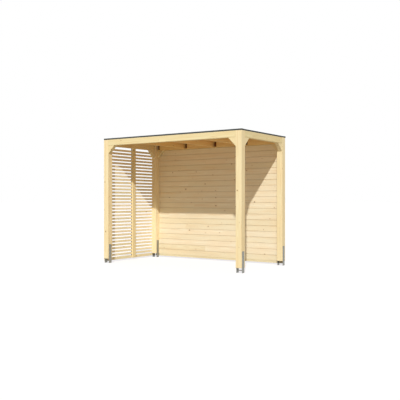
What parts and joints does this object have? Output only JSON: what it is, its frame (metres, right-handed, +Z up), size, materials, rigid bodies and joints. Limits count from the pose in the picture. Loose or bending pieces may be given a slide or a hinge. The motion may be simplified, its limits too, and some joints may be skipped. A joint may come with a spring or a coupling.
{
  "type": "garden pavilion",
  "caption": "Flat-roofed open garden pavilion of planed softwood: corner posts on steel anchors, braced beams, boarded back wall and a slatted side screen.",
  "frame": {"origin": "centre of the footprint, on the ground under the post anchors", "axes": "+X along the open front to the right, +Y from the open front to the boarded back, +Z up"},
  "size_m": [3.02, 1.56, 2.331],
  "materials": {
    "frame_timber": "planed natural softwood",
    "wall_boards": "planed natural softwood boards",
    "slats": "planed natural softwood slats",
    "roof_boards": "natural softwood roof boards",
    "galvanised_steel": "hot-dip galvanised",
    "edge_trim": "grey coated sheet",
    "roof_membrane": "mineral-surfaced roofing sheet"
  },
  "bodies": {
    "root": {"post_front_left": "frame_timber", "post_front_right": "frame_timber", "post_back_left": "frame_timber", "post_back_right": "frame_timber", "anchor_front_left": "galvanised_steel", "anchor_front_right": "galvanised_steel", "anchor_back_left": "galvanised_steel", "anchor_back_right": "galvanised_steel", "beam_front": "frame_timber", "beam_back": "frame_timber", "beam_left": "frame_timber", "beam_right": "frame_timber", "brace_front_left": "frame_timber", "brace_front_right": "frame_timber", "brace_back_left": "frame_timber", "brace_back_right": "frame_timber", "brace_left_front": "frame_timber", "brace_left_rear": "frame_timber", "brace_right_front": "frame_timber", "brace_right_rear": "frame_timber", "rafter_left": "frame_timber", "rafter_middle": "frame_timber", "rafter_right": "frame_timber", "roof_deck": "roof_boards", "roof_membrane": "roof_membrane", "roof_trim_front": "edge_trim", "roof_trim_back": "edge_trim", "roof_trim_left": "edge_trim", "roof_trim_right": "edge_trim", "back_wall": "wall_boards", "back_base_rail": "wall_boards", "slat_panel_front": "slats", "slat_panel_rear": "slats", "slat_rail_front": "slats", "slat_rail_rear": "slats", "side_middle_post": "frame_timber"}
  },
  "joints": []
}
